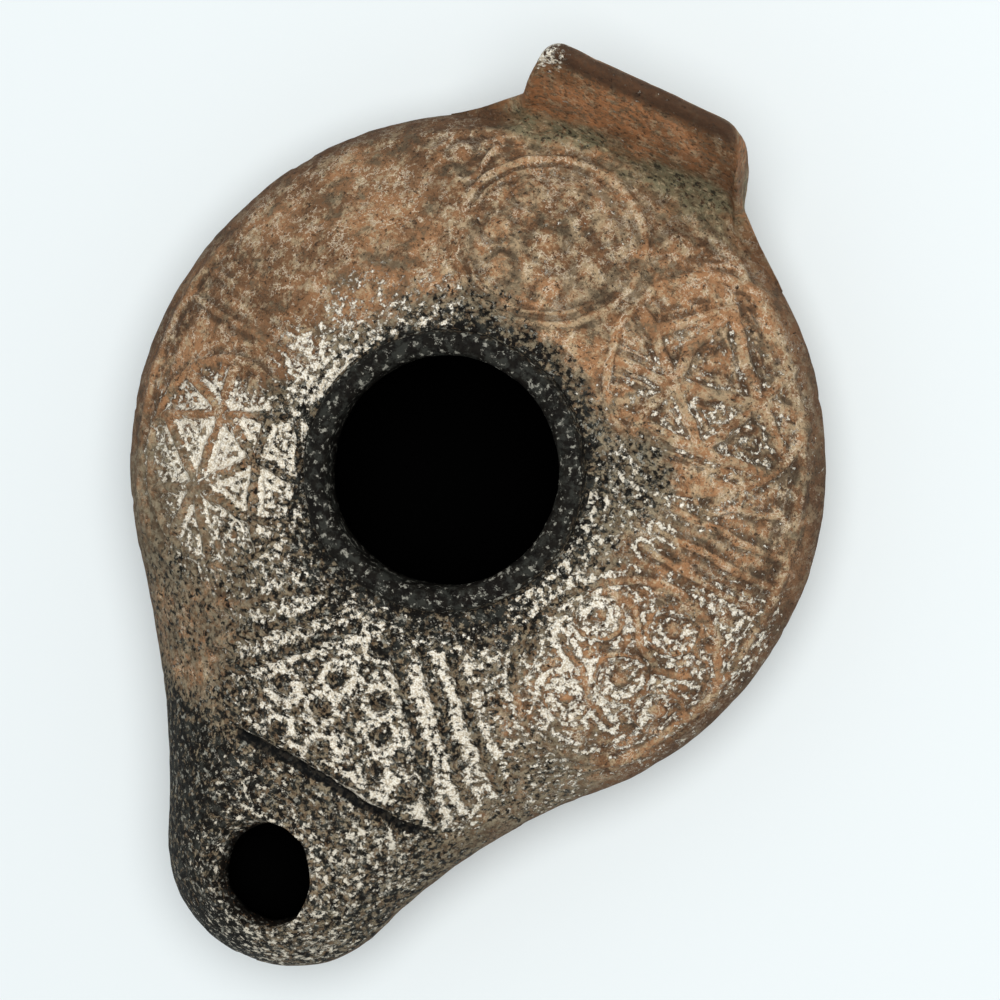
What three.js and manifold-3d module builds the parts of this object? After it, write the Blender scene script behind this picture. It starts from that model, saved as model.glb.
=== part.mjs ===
// A mould-made oil lamp of fired clay, of the late Roman kind with a large filling hole,
// a carved shoulder, a flared neck and a broad solid lug as handle.
// Millimetres, +Z up. The origin is the middle of the base, +Y points to the handle and
// -Y to the nozzle. The lamp is one hollow piece with two holes in its top.

import * as THREE from 'three';
import { mergeVertices } from 'three/addons/utils/BufferGeometryUtils.js';
import Module from 'manifold-3d';

// Body, seen from above a circle
const bodyRadius = 34.8;
const seamHeight = 14.6; // the widest level, where the two halves of the mould meet
const shoulderTop = 28.2; // the shoulder where it meets the collar
const bulgePower = 1.6;
const bulgeRoot = 0.75;
const wall = 3.6;
const floorThickness = 4;

// Nozzle, seen from above a smaller circle that two wide arcs join to the body
const nozzleRadius = 12.6;
const nozzleOverhang = 7.3; // from the body's edge to the middle of the nozzle head
const nozzleTop = 22.6;
const nozzleKeel = 7.6; // the underside of the nozzle head
const nozzleRounding = 7; // how far in from its edge the nozzle head is rounded off
const leftFlareRadius = 100;
const rightFlareRadius = 58;

// Foot
const footRadius = 17.6;
const footHeight = 1.2;
const footGrooveRadius = 12.4;
const footGrooveWidth = 1.4;
const footGrooveDepth = 0.6;

// Filling hole with its collar
const fillingHoleRadius = 11.05;
const collarWidth = 2.35;
const collarHeight = 2.6;

// Wick hole
const wickHoleRadius = 4.5;
const wickHoleFlare = 0.7; // how much wider it is at the top
const wickHolePlace = 2.5; // from the middle of the nozzle head towards the tip

// Handle, a lug that leans back from the body's edge, a little off the middle
const handleWidth = 21.4;
const handleShift = 1.3;
const handleReach = 6.5; // how far it stands out past the body
const handleTop = 28.4;
const handleLip = 1.6; // thickness of its upper edge
const handleCorners = { left: 2, right: 3 };
const handleRoot = 3.4; // how far below the seam it joins the body
const handleBury = 2.6; // how far inside the edge it is rooted
const creaseInset = 1.2; // where its face meets the shoulder, in a straight line across
const creaseHeight = 2.2; // and how far above the seam
const handleFlare = 8; // width of the hollow sweep from the lug to the body on each side
const flankDrop = 1.4; // width of the steep flank at the start of the sweep
const flankShare = 0.5; // what is left of the lug's reach below the steep flank

// Carving on the shoulder and the neck
const ridgeWidth = 1.1;
const ridgeHeight = 0.55;
const bossRadius = 1.45;
const bossHeight = 0.75;
const ridgeRoot = 0.7; // how deep the carving is rooted in the wall
const frameInset = 2; // the plain band outside the frame ridge
const medallionRadius = 10.6;
const backMedallionRadius = 8.7;
const backMedallionAngle = -3.6; // from the handle
const medallionAngles = [47.5, 115]; // from the handle, on both sides
const barAngle = 80; // the bars between the side medallions
const barPitch = 2.6;
const latticeSide = 7.4;
const panelTop = 18; // the first boss on the neck, from the lamp's middle
const panelShift = 1.2; // the bosses sit a little off the middle
const panelRowPitch = 4.05;
const panelBossPitch = 4.5;
const panelRows = 4;
const grooveDepth = 0.6;
const groovePlace = 33; // from the lamp's middle
const grooveReach = 9.5; // to either side
const grooveSlant = 0.65;

// The ridges beside the bosses on the neck: where the first one starts and ends on either
// side, and how far on each further one lies at its start and at its end
const panelRidges = [
  { start: [-1.3, -17.1], end: [-11.8, -27.5], startStep: [-2.6, 0.7], endStep: [-1.95, 2.4] },
  { start: [2.5, -16.6], end: [13, -31.8], startStep: [3.05, 0.35], endStep: [2.2, 2.6] },
];
const panelRidgeCount = 3;

// Worked out from the sizes above
const collarRadius = fillingHoleRadius + collarWidth;
const collarTop = shoulderTop + collarHeight;
const nozzleDistance = bodyRadius + nozzleOverhang;
const shoulderSpan = bodyRadius - collarRadius;
const medallionCircle = collarRadius + 0.505 * shoulderSpan;
const slopeShortening = 0.87; // a length up the shoulder's slope, seen from above

// How finely the surfaces are divided: points along each arc of the edge, rings near the edge
// by their distance from it, and rings further in by their share of the way
const edgeCounts = { body: 30, flare: 4, head: 8 };
const topInsets = [0, 0.7, 2.4, 5.4];
const underInsets = [0, 1.2, 4.4];
const innerInsets = [0, 2.6];
const steps = [0.5, 1];

const clayMaterial = new THREE.MeshStandardMaterial({ color: 0x96694b, roughness: 0.9, metalness: 0 });

const wasm = await Module();
wasm.setup();

const { degToRad, lerp, clamp, smoothstep } = THREE.MathUtils;

// Turns a closed geometry into a solid for joining and cutting.
function solid(geometry) {
  geometry.deleteAttribute('normal');
  geometry.deleteAttribute('uv');
  const merged = mergeVertices(geometry, 1e-4);
  return new wasm.Manifold(new wasm.Mesh({
    numProp: 3,
    vertProperties: new Float32Array(merged.attributes.position.array),
    triVerts: new Uint32Array(merged.index.array),
  }));
}

function geometryOf(manifold) {
  const mesh = manifold.getMesh();
  const geometry = new THREE.BufferGeometry();
  geometry.setAttribute('position', new THREE.BufferAttribute(mesh.vertProperties, 3));
  geometry.setIndex(new THREE.BufferAttribute(mesh.triVerts, 1));
  geometry.computeVertexNormals();
  return geometry;
}

// A skin through rings that all have as many points. Capped ends close on their middle;
// a looped skin joins its last ring to its first.
function skin(rings, looped = false) {
  const count = rings[0].length;
  const points = rings.flat();
  const triangles = [];
  const lastRing = looped ? rings.length : rings.length - 1;
  for (let ring = 0; ring < lastRing; ring += 1) {
    const here = ring * count;
    const next = ((ring + 1) % rings.length) * count;
    for (let i = 0; i < count; i += 1) {
      const j = (i + 1) % count;
      triangles.push(here + i, here + j, next + j, here + i, next + j, next + i);
    }
  }
  if (!looped) {
    capRing(points, triangles, 0, count, false);
    capRing(points, triangles, (rings.length - 1) * count, count, true);
  }
  const geometry = new THREE.BufferGeometry().setFromPoints(points);
  geometry.setIndex(triangles);
  return solid(geometry);
}

function capRing(points, triangles, start, count, facesForward) {
  const middle = new THREE.Vector3();
  for (let i = 0; i < count; i += 1) middle.add(points[start + i]);
  points.push(middle.divideScalar(count));
  const centre = points.length - 1;
  for (let i = 0; i < count; i += 1) {
    const j = (i + 1) % count;
    if (facesForward) triangles.push(centre, start + i, start + j);
    else triangles.push(centre, start + j, start + i);
  }
}

// A turned solid from a profile of [radius, height] points.
function turned(profile, sides) {
  const points = profile.map(([radius, height]) => new THREE.Vector2(radius, height));
  return solid(new THREE.LatheGeometry(points, sides).rotateX(Math.PI / 2));
}

// The middle of the arc that joins body and nozzle on one side: it touches both circles.
function flareCentre(side, radius) {
  const fromBody = bodyRadius + radius;
  const fromNozzle = nozzleRadius + radius;
  const y = -(fromBody ** 2 - fromNozzle ** 2 + nozzleDistance ** 2) / (2 * nozzleDistance);
  return new THREE.Vector2(side * Math.sqrt(fromBody ** 2 - y ** 2), y);
}

const nozzleCentre = new THREE.Vector2(0, -nozzleDistance);
const flares = [
  { side: -1, radius: leftFlareRadius, centre: flareCentre(-1, leftFlareRadius) },
  { side: 1, radius: rightFlareRadius, centre: flareCentre(1, rightFlareRadius) },
];

function arc(centre, radius, from, to, count) {
  const points = [];
  for (let i = 0; i < count; i += 1) {
    const angle = lerp(from, to, i / count);
    points.push(new THREE.Vector2(Math.cos(angle), Math.sin(angle)).multiplyScalar(radius).add(centre));
  }
  return points;
}

// The lamp's edge seen from above, moved inwards by an inset, counter-clockwise.
function outline(inset, counts) {
  const [left, right] = flares;
  const full = 2 * Math.PI;
  const rightOnBody = right.centre.angle() - full;
  const leftOnBody = left.centre.angle();
  const leftOnHead = left.centre.clone().sub(nozzleCentre).angle();
  const rightOnHead = right.centre.clone().sub(nozzleCentre).angle();
  return [
    ...arc(new THREE.Vector2(), bodyRadius - inset, rightOnBody, leftOnBody, counts.body),
    ...arc(left.centre, left.radius + inset, leftOnBody - Math.PI, leftOnHead - Math.PI, counts.flare),
    ...arc(nozzleCentre, nozzleRadius - inset, leftOnHead, rightOnHead, counts.head),
    ...arc(right.centre, right.radius + inset, rightOnHead - Math.PI, rightOnBody + Math.PI, counts.flare),
  ];
}

// How far a plan point lies inside the edge.
function edgeDistance(point) {
  const flare = flares[point.x < 0 ? 0 : 1];
  const away = point.clone().sub(flare.centre);
  const towardsBody = flare.centre.clone().negate();
  const towardsNozzle = nozzleCentre.clone().sub(flare.centre);
  if (flare.side * towardsBody.cross(away) < 0) return bodyRadius - point.length();
  if (flare.side * towardsNozzle.cross(away) > 0) return nozzleRadius - point.distanceTo(nozzleCentre);
  return away.length() - flare.radius;
}

// From 0 at the edge to 1 where the surface has levelled off: fuller than a cone, flatter
// than a quarter ellipse.
function bulge(share) {
  const left = 1 - clamp(share, 0, 1);
  return (1 - left ** bulgePower) ** bulgeRoot;
}

// 0 on the body, 1 at the nozzle head.
function neckShare(point, from) {
  return smoothstep(-point.y, from, nozzleDistance);
}

// The upper surface over a plan point. The depth is 0 outside and the wall inside.
function topHeight(point, depth = 0) {
  const along = neckShare(point, collarRadius);
  const crest = lerp(shoulderTop, nozzleTop, along) - depth;
  const span = lerp(shoulderSpan, nozzleRounding, along) - depth;
  return seamHeight + (crest - seamHeight) * bulge((edgeDistance(point) - depth) / span);
}

// The under surface below a plan point, with the floor's own thickness inside.
function underHeight(point, depth = 0, floor = 0) {
  const along = neckShare(point, footRadius);
  const keel = lerp(footHeight + floor, nozzleKeel + depth, along);
  const span = lerp(bodyRadius - footRadius, nozzleRounding, along) - depth;
  return seamHeight - (seamHeight - keel) * bulge((edgeDistance(point) - depth) / span);
}

// The directions in which the points of every ring lie, seen from the origin.
const directions = outline(topInsets[topInsets.length - 1], edgeCounts).map((point) => point.normalize());

function circleRing(radius, z) {
  return directions.map((direction) => new THREE.Vector3(direction.x * radius, direction.y * radius, z));
}

// Rings from the edge in to a circle round the origin, each point lifted to a height.
function surfaceRings(depth, insets, circleRadius, height) {
  const rings = insets.map((inset) => outline(depth + inset, edgeCounts));
  const last = rings[rings.length - 1];
  for (const step of steps) {
    rings.push(last.map((point, i) => point.clone()
      .lerp(directions[i].clone().multiplyScalar(circleRadius), step)));
  }
  return rings.map((ring) => ring.map((point) => new THREE.Vector3(point.x, point.y, height(point))));
}

// The flat foot with its cut ring, from the middle outwards.
function footRings() {
  const halfGroove = footGrooveWidth / 2;
  const bevel = footHeight / 3;
  return [
    circleRing(footGrooveRadius - halfGroove, 0),
    circleRing(footGrooveRadius, footGrooveDepth),
    circleRing(footGrooveRadius + halfGroove, 0),
    circleRing(footRadius - bevel, 0),
    circleRing(footRadius, bevel),
  ];
}

// The plain rounded collar round the filling hole, from its foot to the ceiling of the chamber.
function collarRings() {
  const half = collarWidth / 2;
  const middle = fillingHoleRadius + half;
  const crown = collarTop - half;
  const rings = [0, 45, 90, 135].map((turn) => circleRing(middle + half * Math.cos(degToRad(turn)),
    crown + half * Math.sin(degToRad(turn))));
  return [...rings, circleRing(fillingHoleRadius, crown), circleRing(fillingHoleRadius, shoulderTop - wall)];
}

// The whole vessel as one skin: foot, under side, shoulder, collar, then the oil chamber's
// ceiling and floor.
function vessel() {
  const under = surfaceRings(0, underInsets, footRadius, (point) => underHeight(point));
  const top = surfaceRings(0, topInsets, collarRadius, (point) => topHeight(point));
  const ceiling = surfaceRings(wall, innerInsets, fillingHoleRadius, (point) => topHeight(point, wall));
  const floor = surfaceRings(wall, innerInsets, footRadius - wall,
    (point) => underHeight(point, wall, floorThickness));
  return skin([...footRings(), ...under.reverse(), ...top.slice(1), ...collarRings(),
    ...ceiling.slice(0, -1).reverse(), ...floor.slice(1)]);
}

function wickHole() {
  const low = nozzleTop - 1.6 * wall;
  const high = nozzleTop + 1;
  const wide = wickHoleRadius + wickHoleFlare;
  const profile = [[0, low], [wickHoleRadius, low], [wickHoleRadius, nozzleTop - wall / 2],
    [wide, nozzleTop], [wide, high], [0, high]];
  return turned(profile, 24).translate([0, -nozzleDistance - wickHolePlace, 0]);
}

// The body's edge on the handle's side, straight behind a place.
function backEdge(x) {
  return Math.sqrt(bodyRadius ** 2 - x ** 2);
}

// How much of the lug is left at a distance past its own width: a steep flank, then a hollow
// sweep out to nothing.
function lugShare(past) {
  if (past <= 0) return 1;
  const flank = lerp(1, flankShare, smoothstep(past, 0, flankDrop));
  return flank * (1 - clamp(past / handleFlare, 0, 1)) ** 1.5;
}

// One upright section of the lug, from the root under its back over the lip to the root of
// its face. The place is measured from the lug's own middle.
function handleSection(place) {
  const half = handleWidth / 2;
  const x = place + handleShift;
  const corner = place < 0 ? handleCorners.left : handleCorners.right;
  const intoCorner = clamp((Math.abs(place) - half + corner) / corner, 0, 1);
  const cornerDrop = corner * (1 - Math.sqrt(1 - intoCorner ** 2));
  const share = lugShare(Math.abs(place) - half);
  const edge = backEdge(x);
  const root = edge - handleBury;
  const lugEdge = backEdge(clamp(place, -half, half) + handleShift);
  const reach = (bodyRadius - lugEdge + handleReach - cornerDrop) * share;
  const back = edge + reach;
  const top = seamHeight + (handleTop - seamHeight - cornerDrop) * share;
  const lip = handleLip * share;
  const crease = lerp(root, bodyRadius - creaseInset, share);
  const creaseLevel = seamHeight + creaseHeight * share;
  const profile = [
    [root, seamHeight - handleRoot],
    [edge + 0.62 * reach, seamHeight - (handleRoot + 1) * share],
    [edge + 0.9 * reach, lerp(seamHeight, top, 0.3)],
    [edge + 0.99 * reach, top - 1.2 * lip],
    [back - 0.2 * lip, top - 0.4 * lip],
    [back - 0.6 * lip, top],
    [back - lip, top - 0.3 * lip],
    [lerp(crease, back - lip, 0.5), lerp(creaseLevel, top, 0.54)],
    [crease, creaseLevel],
    [root, creaseLevel - 0.5 * creaseHeight * share],
  ];
  return profile.map(([y, z]) => new THREE.Vector3(x, y, z));
}

// Where the sections stand on one side: along the lug, round its corner, down the sweep.
function handleStations(corner) {
  const half = handleWidth / 2;
  const along = [0.6, 1].map((share) => share * (half - corner));
  const round = [45, 90].map((turn) => half - corner * (1 - Math.sin(degToRad(turn))));
  const sweep = [0.5 * flankDrop, flankDrop, 0.45 * handleFlare, 0.97 * handleFlare].map((past) => half + past);
  return [...along, ...round, ...sweep];
}

function handle() {
  const left = handleStations(handleCorners.left).reverse().map((place) => -place);
  return skin([...left, 0, ...handleStations(handleCorners.right)].map(handleSection));
}

// A point of the carving: over a plan point, raised along the surface's normal.
function onSurface(point, raise) {
  const step = 0.2;
  const slopeX = topHeight(new THREE.Vector2(point.x + step, point.y))
    - topHeight(new THREE.Vector2(point.x - step, point.y));
  const slopeY = topHeight(new THREE.Vector2(point.x, point.y + step))
    - topHeight(new THREE.Vector2(point.x, point.y - step));
  const normal = new THREE.Vector3(-slopeX, -slopeY, 2 * step).normalize();
  return new THREE.Vector3(point.x, point.y, topHeight(point)).addScaledVector(normal, raise);
}

// A ridge along a path of plan points, or with a negative height a groove.
function ridge(path, closed = false, width = ridgeWidth, height = ridgeHeight) {
  const root = height > 0 ? -ridgeRoot : ridgeRoot;
  const rings = path.map((point, i) => {
    const before = path[closed ? (i + path.length - 1) % path.length : Math.max(i - 1, 0)];
    const after = path[closed ? (i + 1) % path.length : Math.min(i + 1, path.length - 1)];
    const side = after.clone().sub(before).normalize();
    side.set(-side.y, side.x);
    const place = (offset, raise) => onSurface(point.clone().addScaledVector(side, offset), raise);
    const corners = [place(-width, root), place(width, root), place(0, height)];
    return height > 0 ? corners : corners.reverse();
  });
  return skin(rings, closed);
}

// A low rounded boss on the surface.
function boss(point, radius = bossRadius, height = bossHeight) {
  const ringOf = (share, raise) => arc(point, radius * share, 0, 2 * Math.PI, 6)
    .map((corner) => onSurface(corner, raise));
  return skin([ringOf(1.2, -ridgeRoot), ringOf(0.55, height)]);
}

// A round field on the shoulder, with its own axes: across runs round the lamp and out runs
// away from its middle, down the slope.
function field(angleFromHandle, radius) {
  const turn = Math.PI / 2 - degToRad(angleFromHandle);
  const out = new THREE.Vector2(Math.cos(turn), Math.sin(turn));
  const across = new THREE.Vector2(-out.y, out.x);
  const centre = out.clone().multiplyScalar(medallionCircle);
  const place = (a, b) => centre.clone().addScaledVector(across, a).addScaledVector(out, b * slopeShortening);
  return { radius, place, turn };
}

function ringIn(place, a, b, radius, count) {
  const path = [];
  for (let i = 0; i < count; i += 1) {
    const turn = (2 * Math.PI * i) / count;
    path.push(place(a + radius * Math.cos(turn), b + radius * Math.sin(turn)));
  }
  return ridge(path, true, ridgeWidth * 0.9);
}

// Straight ridges in three directions that cross in triangles, cut off by the field's ring.
// The lines keep their direction on the lamp, not in the field.
function lattice(shoulderField, direction, shift) {
  const { radius, place, turn } = shoulderField;
  const pitch = latticeSide * Math.sin(Math.PI / 3);
  const ridges = [];
  for (let k = 0; k < 3; k += 1) {
    const along = degToRad(direction) - turn + Math.PI / 2 + (k * Math.PI) / 3;
    for (const row of [-1, 0, 1]) {
      const offset = (row + shift[k]) * pitch;
      if (Math.abs(offset) > 0.75 * radius) continue;
      const half = Math.sqrt(radius ** 2 - offset ** 2);
      const path = [-1, 0, 1].map((share) => place(
        -offset * Math.sin(along) + share * half * Math.cos(along),
        offset * Math.cos(along) + share * half * Math.sin(along)));
      ridges.push(ridge(path));
    }
  }
  return ridges;
}

function backMedallion() {
  const { radius, place } = field(backMedallionAngle, backMedallionRadius);
  const parts = [ringIn(place, 0, 0, radius, 20), boss(place(0, 0))];
  const count = 7;
  for (let i = 0; i < count; i += 1) {
    const turn = (2 * Math.PI * (i + 0.6)) / count;
    const reach = radius * 0.57;
    parts.push(boss(place(reach * Math.cos(turn), reach * Math.sin(turn))));
  }
  for (const side of [-1, 1]) parts.push(boss(place(side * radius * 1.42, radius * 0.3)));
  return parts;
}

function latticeMedallion(angle, direction, shift) {
  const shoulderField = field(angle, medallionRadius);
  return [ringIn(shoulderField.place, 0, 0, medallionRadius, 22), ...lattice(shoulderField, direction, shift)];
}

// One ringed boss in the middle and four round it.
function bossMedallion(angle) {
  const { radius, place } = field(angle, medallionRadius);
  const parts = [ringIn(place, 0, 0, radius, 22)];
  const spots = [[0, 0]];
  for (let i = 0; i < 4; i += 1) {
    const turn = degToRad(5 + 90 * i);
    spots.push([0.57 * radius * Math.cos(turn), 0.57 * radius * Math.sin(turn)]);
  }
  for (const [a, b] of spots) {
    parts.push(ringIn(place, a, b, radius * 0.245, 6), boss(place(a, b), bossRadius * 0.75));
  }
  return parts;
}

// Two bars that run from the collar to the frame between the side medallions.
function bars(side) {
  const turn = Math.PI / 2 - side * degToRad(barAngle);
  const out = new THREE.Vector2(Math.cos(turn), Math.sin(turn));
  const across = new THREE.Vector2(-out.y, out.x);
  return [-1, 1].map((offset) => ridge([0.3, 0.5, 0.7, 0.9].map((share) => out.clone()
    .multiplyScalar(collarRadius + share * shoulderSpan).addScaledVector(across, offset * barPitch / 2))));
}

// The ridge that frames the shoulder, from one flare round the back to the other.
function frameRidge() {
  const path = arc(new THREE.Vector2(), bodyRadius - frameInset, degToRad(-36), degToRad(216), 26);
  return ridge(path, false, ridgeWidth * 1.1);
}

// The panel on the neck: ridges on each side, and rows of bosses between them.
function neckPanel() {
  const parts = [];
  for (const { start, end, startStep, endStep } of panelRidges) {
    for (let step = 0; step < panelRidgeCount; step += 1) {
      const high = new THREE.Vector2(...start).addScaledVector(new THREE.Vector2(...startStep), step);
      const low = new THREE.Vector2(...end).addScaledVector(new THREE.Vector2(...endStep), step);
      parts.push(ridge([0, 0.33, 0.66, 1].map((share) => high.clone().lerp(low, share))));
    }
  }
  for (let row = 0; row < panelRows; row += 1) {
    for (let i = 0; i <= row; i += 1) {
      const x = panelShift + (i - row / 2) * panelBossPitch;
      parts.push(boss(new THREE.Vector2(x, -panelTop - row * panelRowPitch)));
    }
  }
  return parts;
}

// The cut line across the neck, below the panel.
function neckGroove() {
  const path = [-1, -0.33, 0.33, 1].map((share) => new THREE.Vector2(
    panelShift + share * grooveReach, -groovePlace - share * grooveSlant));
  return ridge(path, false, ridgeWidth, -grooveDepth);
}

function carving() {
  return [
    frameRidge(),
    ...backMedallion(),
    ...latticeMedallion(medallionAngles[0], 0, [0.5, 0, 0.5]),
    ...latticeMedallion(-medallionAngles[0], 0, [0.5, 0.5, 0]),
    ...latticeMedallion(-medallionAngles[1], 30, [0.5, 0.5, 0]),
    ...bossMedallion(medallionAngles[1]),
    ...bars(-1),
    ...bars(1),
    ...neckPanel(),
  ];
}

function lamp() {
  const carved = wasm.Manifold.union([vessel(), handle(), ...carving()]);
  const clay = carved.subtract(wickHole()).subtract(neckGroove());
  const mesh = new THREE.Mesh(geometryOf(clay), clayMaterial);
  mesh.name = 'lamp';
  return mesh;
}

const group = new THREE.Group();
group.add(lamp());

export default group;
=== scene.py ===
# The mould-made oil lamp, dressed: one fine skin of clay with its carving, wear, soot and
# lime crust in place of the plain solid, on a pale floor under soft light.
# Shapes are worked out in millimetres in the solid's own frame and stored in metres.

import itertools
import math

import bpy
import numpy as np
from mathutils import Matrix, Vector


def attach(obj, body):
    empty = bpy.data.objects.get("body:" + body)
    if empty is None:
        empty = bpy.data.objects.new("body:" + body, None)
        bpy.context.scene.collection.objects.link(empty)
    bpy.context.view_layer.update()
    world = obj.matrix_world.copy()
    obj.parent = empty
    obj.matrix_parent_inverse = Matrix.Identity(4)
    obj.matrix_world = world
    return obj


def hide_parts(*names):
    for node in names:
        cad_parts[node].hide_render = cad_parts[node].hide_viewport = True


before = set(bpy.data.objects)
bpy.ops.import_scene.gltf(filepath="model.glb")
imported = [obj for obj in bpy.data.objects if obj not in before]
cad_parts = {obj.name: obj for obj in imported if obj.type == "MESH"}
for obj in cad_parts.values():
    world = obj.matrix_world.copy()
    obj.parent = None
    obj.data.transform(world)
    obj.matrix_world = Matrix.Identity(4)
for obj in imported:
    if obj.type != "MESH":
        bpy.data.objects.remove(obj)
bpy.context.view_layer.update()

MM = 0.001

# The vessel's sizes, as in the solid
BODY_RADIUS = 34.8
SEAM_HEIGHT = 14.6
SHOULDER_TOP = 28.2
BULGE_POWER = 1.6
BULGE_ROOT = 0.75
WALL = 3.6
FLOOR_THICKNESS = 4.0
NOZZLE_RADIUS = 12.6
NOZZLE_DISTANCE = 42.1
NOZZLE_TOP = 22.6
NOZZLE_KEEL = 7.6
NOZZLE_ROUNDING = 7.0
FLARE_RADIUS = {-1: 100.0, 1: 58.0}
FOOT_RADIUS = 17.6
FOOT_HEIGHT = 1.2
FOOT_GROOVE_RADIUS = 12.4
FOOT_GROOVE_WIDTH = 1.4
FOOT_GROOVE_DEPTH = 0.6
HOLE_RADIUS = 11.05
COLLAR_WIDTH = 2.35
COLLAR_HEIGHT = 2.6
HANDLE_WIDTH = 21.4
HANDLE_SHIFT = 1.3
HANDLE_REACH = 6.5
HANDLE_TOP = 28.4
HANDLE_LIP = 1.6
HANDLE_CORNERS = {-1: 2.0, 1: 3.0}
HANDLE_ROOT = 3.4
HANDLE_BURY = 2.6
CREASE_INSET = 1.2
CREASE_HEIGHT = 2.2
HANDLE_FLARE = 8.0
FLANK_DROP = 1.4
FLANK_SHARE = 0.5

COLLAR_RADIUS = HOLE_RADIUS + COLLAR_WIDTH
COLLAR_TOP = SHOULDER_TOP + COLLAR_HEIGHT
SHOULDER_SPAN = BODY_RADIUS - COLLAR_RADIUS

# How finely the skin is divided: points along the outline, insets of the rings that follow it,
# and steps from the last of those to the round ring in the middle
EDGE_COUNTS = {"body": 400, "flare": 56, "head": 72}
TOP_INSETS = np.linspace(0, 5.5, 23)
TOP_STEPS = 94
UNDER_INSETS = (0.35, 0.8, 1.4, 2.2, 3.2, 4.4)
UNDER_STEPS = 16
INSIDE_INSETS = (WALL, WALL + 1.2, WALL + 2.6)
CEILING_STEPS = 6
FLOOR_STEPS = 8

# How many times fewer points the rings of each region have
UNDER_COARSER = 2
HIDDEN_COARSER = 4

# Carving
RIDGE_HALF = 0.64
RIDGE_HEIGHT = 0.72
CARVING_WOBBLE = 0.24
SLOPE_SHORTENING = 0.87  # of a length down the shoulder, seen from above
ISLAND_EDGE = 1.25  # from the ridges that enclose it
ISLAND_TOP = 2.2
FAR_OFF = 99.0
NOT_HERE = 9.0  # the distance from a ridge or boss where it is left out
PLAIN_GAP = 5.0

# The body is a little longer on one slant, as it came from the mould
OVAL_SLANT = math.radians(52)
OVAL_STRETCH = 0.009
UNEVENNESS = 0.12

# After how many cells the noise on the mesh repeats
NOISE_PERIOD = 48


def smoothstep(value, low, high):
    share = np.clip((value - low) / (high - low), 0, 1)
    return share * share * (3 - 2 * share)


def lerp(a, b, share):
    return a + (b - a) * share


def noise(points, size, seed):
    """Smooth noise between about -1 and 1 whose bumps are as wide as size."""
    random = np.random.default_rng(seed)
    table = random.uniform(-1, 1, (NOISE_PERIOD, NOISE_PERIOD, NOISE_PERIOD))
    turn = np.linalg.qr(random.normal(size=(3, 3)))[0]
    place = points @ turn / size + random.uniform(0, NOISE_PERIOD, 3)
    cell = np.floor(place).astype(int)
    part = place - cell
    part = part * part * (3 - 2 * part)
    total = np.zeros(len(points))
    for corner in itertools.product((0, 1), repeat=3):
        at = (cell + corner) % NOISE_PERIOD
        weight = np.prod(np.where(corner, part, 1 - part), axis=1)
        total += table[at[:, 0], at[:, 1], at[:, 2]] * weight
    return total


def rough_noise(points, size, seed):
    """Noise with two finer and fainter layers on it."""
    total = np.zeros(len(points))
    for octave in range(3):
        total += noise(points, size / 2 ** octave, seed + octave) / 2 ** octave
    return total


def deep(plan, height=0.0):
    """Plan points with a height, for noise in space."""
    return np.column_stack([plan, np.broadcast_to(height, len(plan))])


# The outline and the heights of the vessel, by the same rules as in the solid


def flare_centre(side):
    radius = FLARE_RADIUS[side]
    from_body = BODY_RADIUS + radius
    from_nozzle = NOZZLE_RADIUS + radius
    y = -(from_body ** 2 - from_nozzle ** 2 + NOZZLE_DISTANCE ** 2) / (2 * NOZZLE_DISTANCE)
    return np.array([side * math.sqrt(from_body ** 2 - y ** 2), y])


FLARE_CENTRE = {side: flare_centre(side) for side in (-1, 1)}
NOZZLE_CENTRE = np.array([0.0, -NOZZLE_DISTANCE])


def angle_of(point):
    return math.atan2(point[1], point[0]) % (2 * math.pi)


def arc(centre, radius, start, end, count):
    angles = np.linspace(start, end, count, endpoint=False)
    return centre + radius * np.column_stack([np.cos(angles), np.sin(angles)])


def outline(inset, coarser=1):
    """The outline moved inwards: body, left flare, nozzle head, right flare."""
    left, right = FLARE_CENTRE[-1], FLARE_CENTRE[1]
    right_on_body = angle_of(right) - 2 * math.pi
    left_on_body = angle_of(left)
    left_on_head = angle_of(left - NOZZLE_CENTRE)
    right_on_head = angle_of(right - NOZZLE_CENTRE)
    body, flare, head = (EDGE_COUNTS[key] // coarser for key in ("body", "flare", "head"))
    return np.vstack([
        arc(np.zeros(2), BODY_RADIUS - inset, right_on_body, left_on_body, body),
        arc(left, FLARE_RADIUS[-1] + inset, left_on_body - math.pi, left_on_head - math.pi, flare),
        arc(NOZZLE_CENTRE, NOZZLE_RADIUS - inset, left_on_head, right_on_head, head),
        arc(right, FLARE_RADIUS[1] + inset, right_on_head - math.pi, right_on_body + math.pi, flare),
    ])


def cross(a, b):
    return a[..., 0] * b[..., 1] - a[..., 1] * b[..., 0]


def edge_distance(plan):
    """How far plan points lie inside the outline."""
    distance = np.empty(len(plan))
    for side in (-1, 1):
        mine = plan[:, 0] < 0 if side < 0 else plan[:, 0] >= 0
        here = plan[mine]
        centre = FLARE_CENTRE[side]
        away = here - centre
        result = np.hypot(*away.T) - FLARE_RADIUS[side]
        on_body = side * cross(-centre, away) < 0
        on_head = side * cross(NOZZLE_CENTRE - centre, away) > 0
        result = np.where(on_head, NOZZLE_RADIUS - np.hypot(*(here - NOZZLE_CENTRE).T), result)
        result = np.where(on_body, BODY_RADIUS - np.hypot(*here.T), result)
        distance[mine] = result
    return distance


def bulge(share):
    """How far the profile has risen at a share of the way in from the edge."""
    left = 1 - np.clip(share, 0, 1)
    return (1 - left ** BULGE_POWER) ** BULGE_ROOT


def neck_share(plan, start):
    """0 on the body, 1 from the middle of the nozzle head on."""
    return smoothstep(-plan[:, 1], start, NOZZLE_DISTANCE)


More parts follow.
